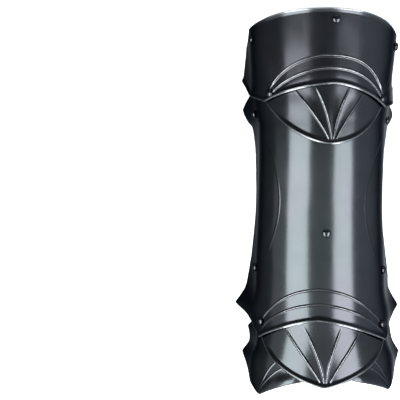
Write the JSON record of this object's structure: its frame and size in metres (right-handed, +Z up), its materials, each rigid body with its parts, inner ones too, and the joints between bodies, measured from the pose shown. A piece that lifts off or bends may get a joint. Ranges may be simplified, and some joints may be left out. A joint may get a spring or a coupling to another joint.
{
  "type": "greave",
  "caption": "Shin armour of blackened steel with fluted lames that turn on rivets at the knee and ankle, open at the back for the leg.",
  "frame": {"origin": "on the surface that it lies on, under the middle of its length and width", "axes": "+X across the leg to the right in the picture, +Y along the shin towards the knee, +Z up, out of the front of the shin"},
  "size_m": [0.1678, 0.3712, 0.1108],
  "materials": {
    "black_steel": "satin blackened steel",
    "rivet_steel": "satin, worn bright on the domes"
  },
  "bodies": {
    "shin": {"shin_plate": "black_steel", "rivet_shin_upper_left": "rivet_steel", "rivet_shin_upper_right": "rivet_steel", "rivet_shin_centre": "rivet_steel", "rivet_shin_lower_left": "rivet_steel", "rivet_shin_lower_right": "rivet_steel", "rivet_knee_left": "rivet_steel", "rivet_knee_right": "rivet_steel", "rivet_ankle_left": "rivet_steel", "rivet_ankle_right": "rivet_steel"},
    "knee_plate": {"top_plate": "black_steel", "rivet_top_centre": "rivet_steel", "rivet_top_left": "rivet_steel", "rivet_top_right": "rivet_steel"},
    "knee_petal": {"upper_petal": "black_steel"},
    "ankle_petal": {"lower_petal": "black_steel"},
    "ankle_plate": {"bottom_plate": "black_steel"}
  },
  "joints": [
    {"name": "knee_plate_hinge", "type": "hinge", "parent": "shin", "child": "knee_plate", "pos_m": [0.00201, 0.10545, 0.0754], "axis": [0.9986, -0.0465, -0.0269], "range_deg": [-3, 7]},
    {"name": "knee_petal_hinge", "type": "hinge", "parent": "shin", "child": "knee_petal", "pos_m": [0.00201, 0.10545, 0.0754], "axis": [-0.9986, 0.0465, 0.0269], "range_deg": [0, 4]},
    {"name": "ankle_petal_hinge", "type": "hinge", "parent": "shin", "child": "ankle_petal", "pos_m": [-0.00127, -0.11566, 0.06022], "axis": [-0.9987, 0.0215, -0.0456], "range_deg": [0, 4]},
    {"name": "ankle_plate_hinge", "type": "hinge", "parent": "shin", "child": "ankle_plate", "pos_m": [-0.00127, -0.11566, 0.06022], "axis": [0.9987, -0.0215, 0.0456], "range_deg": [0, 5]}
  ]
}
